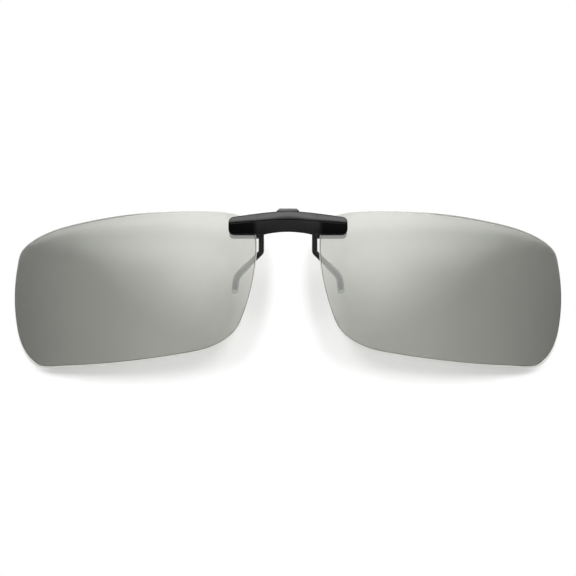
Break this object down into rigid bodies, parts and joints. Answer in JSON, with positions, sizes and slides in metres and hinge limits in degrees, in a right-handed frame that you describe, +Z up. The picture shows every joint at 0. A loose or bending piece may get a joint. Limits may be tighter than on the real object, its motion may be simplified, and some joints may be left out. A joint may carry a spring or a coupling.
{
  "type": "clip-on sunglasses",
  "caption": "Rimless tinted lenses on a moulded bridge with a sprung clamp whose sleeved claws grip a pair of spectacles.",
  "frame": {"origin": "middle of the bridge cover's flat front face, on the plane of symmetry", "axes": "+X to the wearer's left, +Y from the front of the lenses towards the face, +Z up"},
  "size_m": [0.1346, 0.01, 0.0391],
  "materials": {
    "black_plastic": "satin black moulding",
    "tab_plastic": "satin black moulding, ribbed on its back",
    "lens_tint": "grey tint with a silver mirror coat, polished edge",
    "steel": "plain stainless",
    "nylon": "natural",
    "black_wire": "black coated spring wire",
    "clear_silicone": "clear, slightly frosted"
  },
  "bodies": {
    "bridge": {"bridge_cover": "black_plastic", "back_plate": "black_plastic", "left_lens": "lens_tint", "right_lens": "lens_tint", "lens_screw_left_inner": "steel", "lens_screw_left_outer": "steel", "lens_screw_right_inner": "steel", "lens_screw_right_outer": "steel", "lens_bush_left_inner": "nylon", "lens_bush_left_outer": "nylon", "lens_bush_right_inner": "nylon", "lens_bush_right_outer": "nylon", "hinge_pin": "steel", "torsion_spring": "steel", "front_claw_left": "black_wire", "front_claw_right": "black_wire", "front_claw_sleeve_left": "clear_silicone", "front_claw_sleeve_right": "clear_silicone"},
    "jaw": {"jaw_lever": "black_plastic", "press_tab": "tab_plastic", "rear_claw_left": "black_wire", "rear_claw_right": "black_wire", "rear_claw_sleeve_left": "clear_silicone", "rear_claw_sleeve_right": "clear_silicone"}
  },
  "joints": [
    {"name": "jaw_pivot", "type": "hinge", "parent": "bridge", "child": "jaw", "pos_m": [0, 0.0074, 0], "axis": [1, 0, 0], "range_deg": [0, 22], "stiffness_Nm_per_rad": 0.02, "springref_deg": -34.38, "deforming": ["torsion_spring"]}
  ]
}
